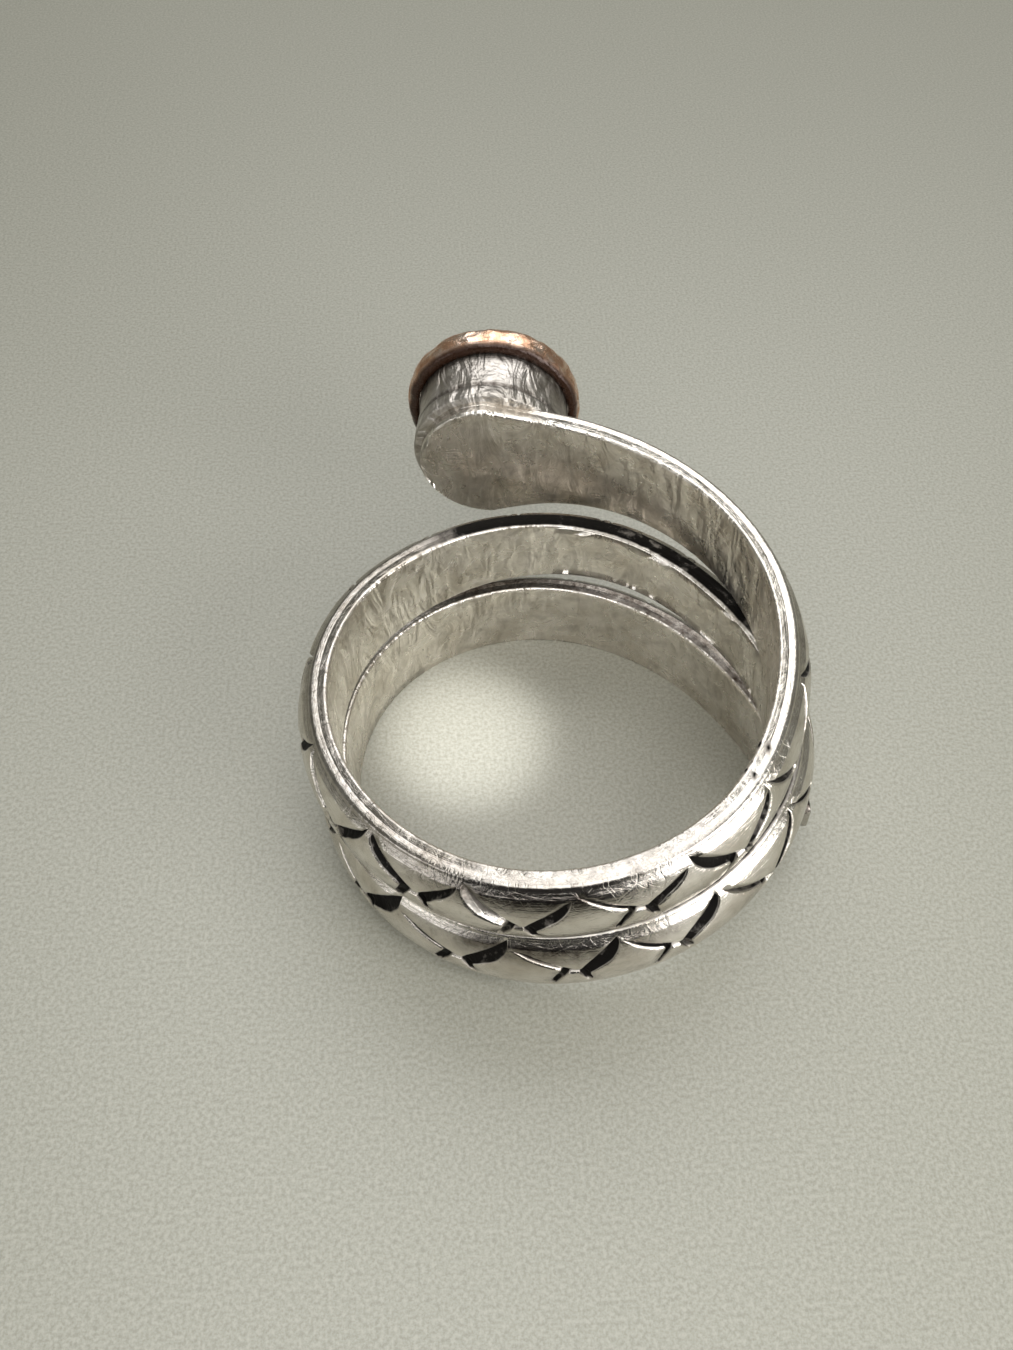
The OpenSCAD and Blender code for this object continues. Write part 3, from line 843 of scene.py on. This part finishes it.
def area_light(name, turn, rise, far, size, brightness, lights_board):
    light = bpy.data.lights.new(name, "AREA")
    light.shape = "RECTANGLE"
    light.size, light.size_y = size
    light.energy = brightness * pi * size[0] * size[1]
    obj = bpy.data.objects.new(name, light)
    obj.location = RING_MIDDLE + towards(turn, rise, far)
    obj.rotation_euler = (-towards(turn, rise, far)).to_track_quat("-Z", "Y").to_euler()
    obj.visible_camera = False
    obj.visible_diffuse = lights_board
    bpy.context.scene.collection.objects.link(obj)


for lamp_name, lamp in LAMPS.items():
    area_light(lamp_name, *lamp)


def bright_patch():
    """A narrow lamp over the left of the finger hole. It stands for the light that the
    curved inner wall gathers on the board there: a soft spot of 5.2 mm radius."""
    height, spot = 200, 5.2
    light = bpy.data.lights.new("bright_patch", "SPOT")
    light.energy = 1.6
    light.spot_size, light.spot_blend = 2 * atan2(spot, height), 1
    light.shadow_soft_size = 0.001
    obj = bpy.data.objects.new("bright_patch", light)
    obj.location = Vector((-4.0, 3.0, height)) * MM
    bpy.context.scene.collection.objects.link(obj)


bright_patch()

# The room is one even grey
world = bpy.data.worlds.new("studio")
bpy.context.scene.world = world
world.use_nodes = True
world.node_tree.nodes["Background"].inputs["Color"].default_value = colour("#787872")


def black_paper():
    """Matt black paper, dull and without a pattern."""
    m, _ = new_material("black_paper")
    bsdf = node(m, "ShaderNodeBsdfPrincipled", Base_Color=colour("#0c0b0a"), Roughness=0.9)
    node(m, "ShaderNodeOutputMaterial", [(bsdf, "Surface")])
    return m


PAPER = black_paper()


def black_card(name, width, height, place, turn, lean):
    """A dark card in front of the ring: silver shows its shape only where it has something
    dark to mirror. It takes no light off the board. Place is that of its lower edge."""
    bm = bmesh.new()
    bmesh.ops.create_grid(bm, x_segments=1, y_segments=1, size=0.5)
    bmesh.ops.translate(bm, vec=(0, 0.5, 0), verts=bm.verts)
    bmesh.ops.scale(bm, vec=(width, height, 1), verts=bm.verts)
    matrix = (Matrix.Translation(place) @ Matrix.Rotation(radians(turn), 4, "Z")
              @ Matrix.Rotation(radians(lean), 4, "X"))
    bmesh.ops.transform(bm, matrix=matrix, verts=bm.verts)
    obj = as_object(name, bm, PAPER)
    obj.visible_camera = False
    obj.visible_shadow = False
    obj.visible_diffuse = False


# One card leans on the board close to the ring, one stands farther off. Both are kept this
# far clear of the board, in metres.
CLEAR = 0.0004
black_card("near_card", 0.045, 0.06, (-0.012, -0.027, CLEAR), 180, 38)
black_card("far_card", 0.24, 0.13, towards(-14, 0, 0.2) + Vector((0, 0, CLEAR)), -14, 90)

bpy.context.scene.view_settings.view_transform = "Standard"

# The camera as fitted to the coil's edges in the photograph, in millimetres, degrees and
# pixels; the width of the sensor is in millimetres
CAMERA_PLACE = Vector((-6.33348, -29.07659, 48.06453)) * MM
CAMERA_TURN = (36.7501, -2.6042, -3.9053)
FOCAL_PIXELS, IMAGE_HEIGHT, SENSOR = 1199.9, 1350, 36
camera_data = bpy.data.cameras.new("camera")
camera_data.sensor_width = SENSOR
camera_data.lens = FOCAL_PIXELS / IMAGE_HEIGHT * SENSOR
camera_data.clip_start = 0.001
camera = bpy.data.objects.new("camera", camera_data)
camera.location = CAMERA_PLACE
camera.rotation_euler = [radians(t) for t in CAMERA_TURN]
bpy.context.scene.collection.objects.link(camera)
bpy.context.scene.camera = camera
